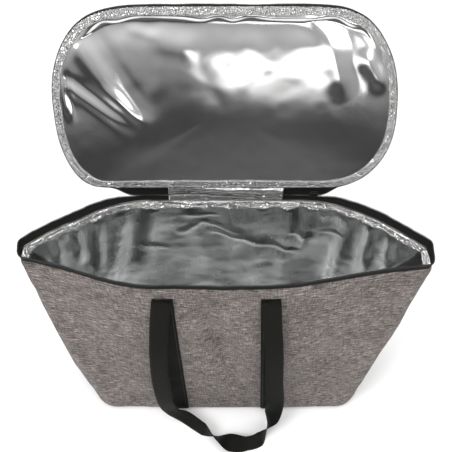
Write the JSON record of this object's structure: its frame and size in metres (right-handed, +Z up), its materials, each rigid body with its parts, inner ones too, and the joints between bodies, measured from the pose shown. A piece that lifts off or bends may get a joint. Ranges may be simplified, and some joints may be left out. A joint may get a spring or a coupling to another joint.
{
  "type": "insulated cooler bag",
  "caption": "Soft insulated tote cooler standing open, with a padded zip-round lid leaning back on a fabric hinge, foil lining and webbing carrying loops.",
  "frame": {"origin": "centre of the flat base, on the surface that the bag stands on", "axes": "+X along the bag's length, +Y towards the lid's hinge, +Z up"},
  "size_m": [0.531, 0.3708, 0.4929],
  "materials": {
    "heather_fabric": "heathered woven polyester",
    "closed_cell_foam": "closed-cell polyethylene foam",
    "foil_lining": "satin foil film, embossed",
    "base_board": "pressed stiffener board",
    "black_zip_tape": "woven zip tape",
    "zip_teeth": "nylon coil",
    "black_webbing": "polypropylene webbing",
    "zip_metal": "black painted die casting"
  },
  "bodies": {
    "bag": {"front_panel": "heather_fabric", "back_panel": "heather_fabric", "base_panel": "heather_fabric", "foam_front": "closed_cell_foam", "foam_back": "closed_cell_foam", "foam_base": "closed_cell_foam", "base_board": "base_board", "liner_front": "foil_lining", "liner_back": "foil_lining", "liner_base": "foil_lining", "rim_facing": "foil_lining", "front_strap_left": "black_webbing", "front_strap_right": "black_webbing", "back_strap_left": "black_webbing", "back_strap_right": "black_webbing", "zip_tape_bag": "black_zip_tape", "zip_teeth_bag": "zip_teeth", "zip_end_left": "black_zip_tape", "zip_end_right": "black_zip_tape", "hinge_facing": "foil_lining", "hinge_fabric": "heather_fabric"},
    "lid": {"lid_panel": "heather_fabric", "lid_foam": "closed_cell_foam", "lid_liner": "foil_lining", "lid_facing": "foil_lining", "zip_tape_lid": "black_zip_tape", "zip_teeth_lid": "zip_teeth"},
    "front_handle": {"front_handle": "black_webbing"},
    "back_handle": {"back_handle": "black_webbing"},
    "slider": {"zip_slider": "zip_metal"},
    "pull": {"zip_pull": "zip_metal"}
  },
  "joints": [
    {"name": "lid_hinge", "type": "hinge", "parent": "bag", "child": "lid", "pos_m": [0, 0.0854, 0.288], "axis": [-1, 0, 0], "range_deg": [-118, 74]},
    {"name": "front_handle_fold", "type": "hinge", "parent": "bag", "child": "front_handle", "pos_m": [0, -0.07035, 0.253], "axis": [-1, 0, 0], "range_deg": [0, 160]},
    {"name": "back_handle_fold", "type": "hinge", "parent": "bag", "child": "back_handle", "pos_m": [0, 0.08906, 0.253], "axis": [-1, 0, 0], "range_deg": [-130, 0]},
    {"name": "slider_travel", "type": "slide", "parent": "bag", "child": "slider", "axis": [1, 0, 0], "range_m": [-0.028, 0.003]},
    {"name": "pull_swing", "type": "hinge", "parent": "slider", "child": "pull", "pos_m": [0.12, 0.09, 0.279], "axis": [0, 0, -1], "range_deg": [0, 170]}
  ]
}
